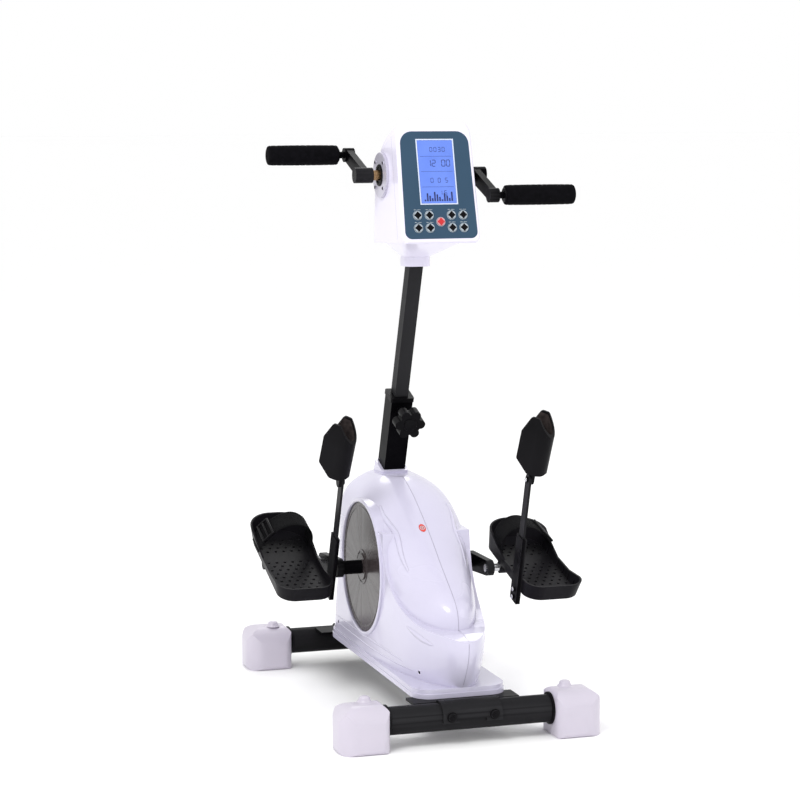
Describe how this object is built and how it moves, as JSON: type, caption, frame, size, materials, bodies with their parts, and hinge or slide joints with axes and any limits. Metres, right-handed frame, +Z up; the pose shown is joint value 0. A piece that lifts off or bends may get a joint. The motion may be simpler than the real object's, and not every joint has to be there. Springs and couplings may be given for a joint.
{
  "type": "pedal exerciser",
  "caption": "Floor-standing exerciser with opposed pedals carrying calf supports, and a leaning sliding mast with arm cranks and a display console.",
  "frame": {"origin": "on the floor under the middle of the base", "axes": "+X to the user's right, -Y towards the user, +Z up"},
  "size_m": [0.5064, 0.709, 1.043],
  "materials": {
    "black_steel": "gloss black paint",
    "white_shell": "smooth, semi-gloss",
    "foot_plastic": "smooth, semi-gloss",
    "disc_plastic": "gloss",
    "bright_steel": "brushed",
    "bronze": "satin",
    "pulley_alloy": "turned",
    "belt_rubber": "ribbed",
    "tray_plastic": "fine grain",
    "cup_plastic": "fine grain",
    "webbing": "woven",
    "foam": "closed-cell foam",
    "panel_blue": "satin film",
    "screen": "silver frame, blue screen",
    "button_grey": "satin",
    "button_red": "satin",
    "badge_red": "gloss",
    "black_plastic": "satin"
  },
  "bodies": {
    "base_unit": {"front_base_tube": "black_steel", "rear_base_tube": "black_steel", "front_left_foot": "foot_plastic", "front_right_foot": "foot_plastic", "rear_left_foot": "foot_plastic", "rear_right_foot": "foot_plastic", "main_frame": "black_steel", "frame_bolts": "black_steel", "mast_bushing": "black_plastic", "left_shell": "white_shell", "right_shell": "white_shell", "shell_badge": "badge_red", "drive_motor": "black_steel", "crank_bearings": "bright_steel", "drive_belt": "belt_rubber", "power_inlet": "black_plastic"},
    "leg_crank": {"crank_axle": "bright_steel", "drive_pulley": "pulley_alloy", "left_crank_disc": "disc_plastic", "right_crank_disc": "disc_plastic", "left_crank_arm": "black_steel", "right_crank_arm": "black_steel", "left_pedal_spindle": "bright_steel", "right_pedal_spindle": "bright_steel"},
    "motor_pulley": {"motor_pulley": "pulley_alloy"},
    "clamp_knob": {"clamp_knob": "black_plastic"},
    "power_switch": {"power_switch": "black_plastic"},
    "upper_unit": {"mast_inner_tube": "black_steel", "console_front_shell": "white_shell", "console_rear_shell": "white_shell", "face_panel": "panel_blue", "display_module": "screen", "hand_bearing_block": "pulley_alloy", "left_axle_flange": "bright_steel", "right_axle_flange": "bright_steel"},
    "hand_crank": {"hand_axle": "bronze", "left_hand_crank": "black_steel", "right_hand_crank": "black_steel"},
    "left_pedal": {"left_foot_tray": "tray_plastic", "left_foot_strap": "webbing", "left_post_sleeve": "black_steel"},
    "left_post": {"left_calf_post": "black_steel"},
    "left_cup": {"left_calf_cup": "cup_plastic"},
    "left_grip": {"left_hand_grip": "foam"},
    "right_pedal": {"right_foot_tray": "tray_plastic", "right_foot_strap": "webbing", "right_post_sleeve": "black_steel"},
    "right_post": {"right_calf_post": "black_steel"},
    "right_cup": {"right_calf_cup": "cup_plastic"},
    "right_grip": {"right_hand_grip": "foam"},
    "button_1": {"button_1": "button_grey"},
    "button_2": {"button_2": "button_grey"},
    "button_3": {"button_3": "button_grey"},
    "button_4": {"button_4": "button_grey"},
    "button_5": {"button_5": "button_grey"},
    "button_6": {"button_6": "button_grey"},
    "button_7": {"button_7": "button_grey"},
    "button_8": {"button_8": "button_grey"},
    "button_9": {"button_9": "button_red"}
  },
  "joints": [
    {"name": "crank_spin", "type": "hinge", "parent": "base_unit", "child": "leg_crank", "pos_m": [0, 0.0345, 0.24], "axis": [1, 0, 0], "continuous": true},
    {"name": "motor_pulley_spin", "type": "hinge", "parent": "base_unit", "child": "motor_pulley", "pos_m": [0, -0.18, 0.122], "axis": [1, 0, 0], "continuous": true},
    {"name": "left_pedal_turn", "type": "hinge", "parent": "leg_crank", "child": "left_pedal", "pos_m": [-0.19, 0.13442, 0.23599], "axis": [1, 0, 0], "continuous": true},
    {"name": "left_post_slide", "type": "slide", "parent": "left_pedal", "child": "left_post", "axis": [0, -0.342, 0.9397], "range_m": [-0.025, 0.025]},
    {"name": "left_cup_swivel", "type": "hinge", "parent": "left_post", "child": "left_cup", "pos_m": [-0.141, -0.03479, 0.40852], "axis": [1, 0, 0], "range_deg": [-20, 20]},
    {"name": "right_pedal_turn", "type": "hinge", "parent": "leg_crank", "child": "right_pedal", "pos_m": [0.19, -0.06542, 0.24401], "axis": [1, 0, 0], "continuous": true},
    {"name": "right_post_slide", "type": "slide", "parent": "right_pedal", "child": "right_post", "axis": [0, -0.2756, 0.9613], "range_m": [-0.025, 0.025]},
    {"name": "right_cup_swivel", "type": "hinge", "parent": "right_post", "child": "right_cup", "pos_m": [0.141, -0.22219, 0.42793], "axis": [1, 0, 0], "range_deg": [-20, 20]},
    {"name": "mast_slide", "type": "slide", "parent": "base_unit", "child": "upper_unit", "axis": [0, -0.3355, 0.9421], "range_m": [-0.1, 0.05]},
    {"name": "clamp_knob_turn", "type": "hinge", "parent": "base_unit", "child": "clamp_knob", "pos_m": [0, 0.01472, 0.50243], "axis": [0, -0.9421, -0.3355], "range_deg": [-180, 180]},
    {"name": "power_switch_rock", "type": "hinge", "parent": "base_unit", "child": "power_switch", "pos_m": [0.058, 0.229, 0.11], "axis": [1, 0, 0], "range_deg": [-12, 0]},
    {"name": "hand_crank_spin", "type": "hinge", "parent": "upper_unit", "child": "hand_crank", "pos_m": [0, -0.0485, 0.948], "axis": [1, 0, 0], "continuous": true},
    {"name": "left_grip_spin", "type": "hinge", "parent": "hand_crank", "child": "left_grip", "pos_m": [-0.187, 0.0465, 0.98108], "axis": [1, 0, 0], "continuous": true},
    {"name": "right_grip_spin", "type": "hinge", "parent": "hand_crank", "child": "right_grip", "pos_m": [0.187, -0.1435, 0.91492], "axis": [1, 0, 0], "continuous": true},
    {"name": "button_1_press", "type": "slide", "parent": "upper_unit", "child": "button_1", "axis": [0, 0.9659, -0.2588], "range_m": [0, 0.0012], "stiffness_N_per_m": 300, "springref_m": -0.002},
    {"name": "button_2_press", "type": "slide", "parent": "upper_unit", "child": "button_2", "axis": [0, 0.9659, -0.2588], "range_m": [0, 0.0012], "stiffness_N_per_m": 300, "springref_m": -0.002},
    {"name": "button_3_press", "type": "slide", "parent": "upper_unit", "child": "button_3", "axis": [0, 0.9659, -0.2588], "range_m": [0, 0.0012], "stiffness_N_per_m": 300, "springref_m": -0.002},
    {"name": "button_4_press", "type": "slide", "parent": "upper_unit", "child": "button_4", "axis": [0, 0.9659, -0.2588], "range_m": [0, 0.0012], "stiffness_N_per_m": 300, "springref_m": -0.002},
    {"name": "button_5_press", "type": "slide", "parent": "upper_unit", "child": "button_5", "axis": [0, 0.9659, -0.2588], "range_m": [0, 0.0012], "stiffness_N_per_m": 300, "springref_m": -0.002},
    {"name": "button_6_press", "type": "slide", "parent": "upper_unit", "child": "button_6", "axis": [0, 0.9659, -0.2588], "range_m": [0, 0.0012], "stiffness_N_per_m": 300, "springref_m": -0.002},
    {"name": "button_7_press", "type": "slide", "parent": "upper_unit", "child": "button_7", "axis": [0, 0.9659, -0.2588], "range_m": [0, 0.0012], "stiffness_N_per_m": 300, "springref_m": -0.002},
    {"name": "button_8_press", "type": "slide", "parent": "upper_unit", "child": "button_8", "axis": [0, 0.9659, -0.2588], "range_m": [0, 0.0012], "stiffness_N_per_m": 300, "springref_m": -0.002},
    {"name": "button_9_press", "type": "slide", "parent": "upper_unit", "child": "button_9", "axis": [0, 0.9659, -0.2588], "range_m": [0, 0.0012], "stiffness_N_per_m": 300, "springref_m": -0.002}
  ],
  "couplings": [
    {"joint": "motor_pulley_spin", "follows": "crank_spin", "ratio": 5},
    {"joint": "left_pedal_turn", "follows": "crank_spin", "ratio": -1},
    {"joint": "right_pedal_turn", "follows": "crank_spin", "ratio": -1}
  ]
}
